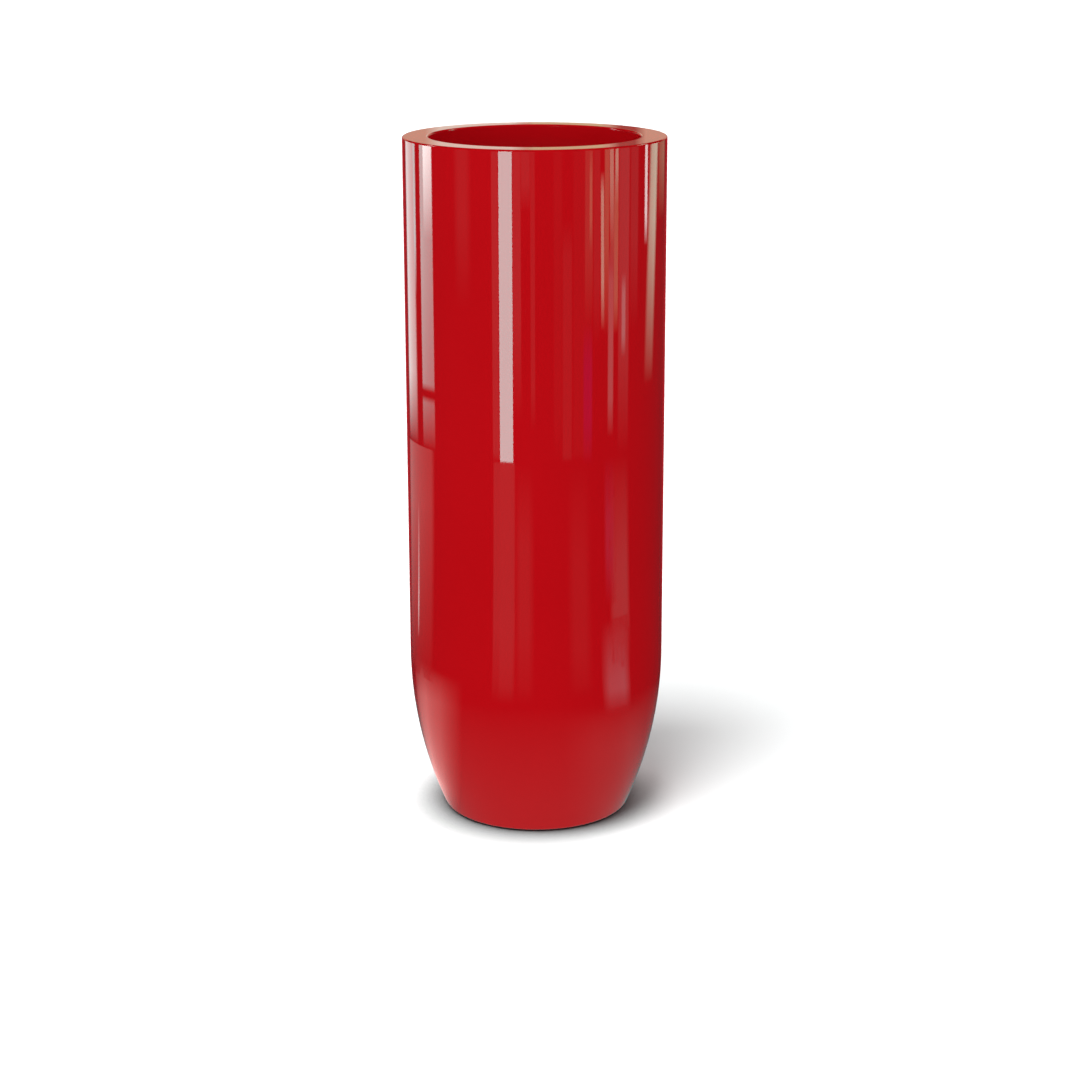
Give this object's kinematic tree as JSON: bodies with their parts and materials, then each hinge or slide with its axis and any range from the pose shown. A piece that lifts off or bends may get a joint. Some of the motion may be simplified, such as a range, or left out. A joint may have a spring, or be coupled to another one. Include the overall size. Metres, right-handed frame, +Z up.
{
  "type": "planter",
  "caption": "Tall round glossy planter with a turned-in flat rim and a foot that curves in, holding a lift-out shelf and a lift-out liner with fold-up handles.",
  "frame": {"origin": "on the ground, at the centre of the foot", "axes": "+Z up along the vessel's axis; the liner's two handles fold down towards +X and -X"},
  "size_m": [0.375, 0.375, 1],
  "materials": {
    "red_lacquer": "high-gloss red lacquer over glass-fibre laminate",
    "plywood": "sealed exterior plywood",
    "cleat_wood": "hardwood block, resin coated",
    "drain_grey": "moulded nylon",
    "o_ring_grey": "nitrile rubber",
    "rubber_black": "moulded rubber",
    "pad_rubber": "soft rubber bumper",
    "liner_black": "moulded polypropylene, fine grain",
    "handle_black": "moulded polypropylene, satin",
    "zinc_pin": "zinc-plated steel"
  },
  "bodies": {
    "planter": {"outer_shell": "red_lacquer", "rim_ring": "red_lacquer", "rim_stiffener": "plywood", "base_board": "plywood", "drain_bush": "drain_grey", "drain_gasket": "rubber_black", "drain_nut": "drain_grey", "shelf_cleat_1": "cleat_wood", "shelf_cleat_2": "cleat_wood", "shelf_cleat_3": "cleat_wood", "shelf_cleat_4": "cleat_wood", "foot_pad_1": "pad_rubber", "foot_pad_2": "pad_rubber", "foot_pad_3": "pad_rubber", "foot_pad_4": "pad_rubber"},
    "drain_plug": {"drain_plug": "rubber_black", "plug_o_ring": "o_ring_grey"},
    "shelf": {"shelf_board": "plywood"},
    "liner": {"liner": "liner_black", "liner_collar": "liner_black", "handle_pivots": "zinc_pin"},
    "handle_left": {"handle_left": "handle_black"},
    "handle_right": {"handle_right": "handle_black"}
  },
  "joints": [
    {"name": "plug_pull", "type": "slide", "parent": "planter", "child": "drain_plug", "axis": [0, 0, 1], "range_m": [0, 0.12]},
    {"name": "shelf_lift", "type": "slide", "parent": "planter", "child": "shelf", "axis": [0, 0, 1], "range_m": [0, 0.4]},
    {"name": "liner_lift", "type": "slide", "parent": "shelf", "child": "liner", "axis": [0, 0, 1], "range_m": [0, 0.38]},
    {"name": "handle_left_fold", "type": "hinge", "parent": "liner", "child": "handle_left", "pos_m": [-0.012, 0, 0.939], "axis": [0, 1, 0], "range_deg": [0, 90]},
    {"name": "handle_right_fold", "type": "hinge", "parent": "liner", "child": "handle_right", "pos_m": [0.012, 0, 0.939], "axis": [0, -1, 0], "range_deg": [0, 90]}
  ]
}
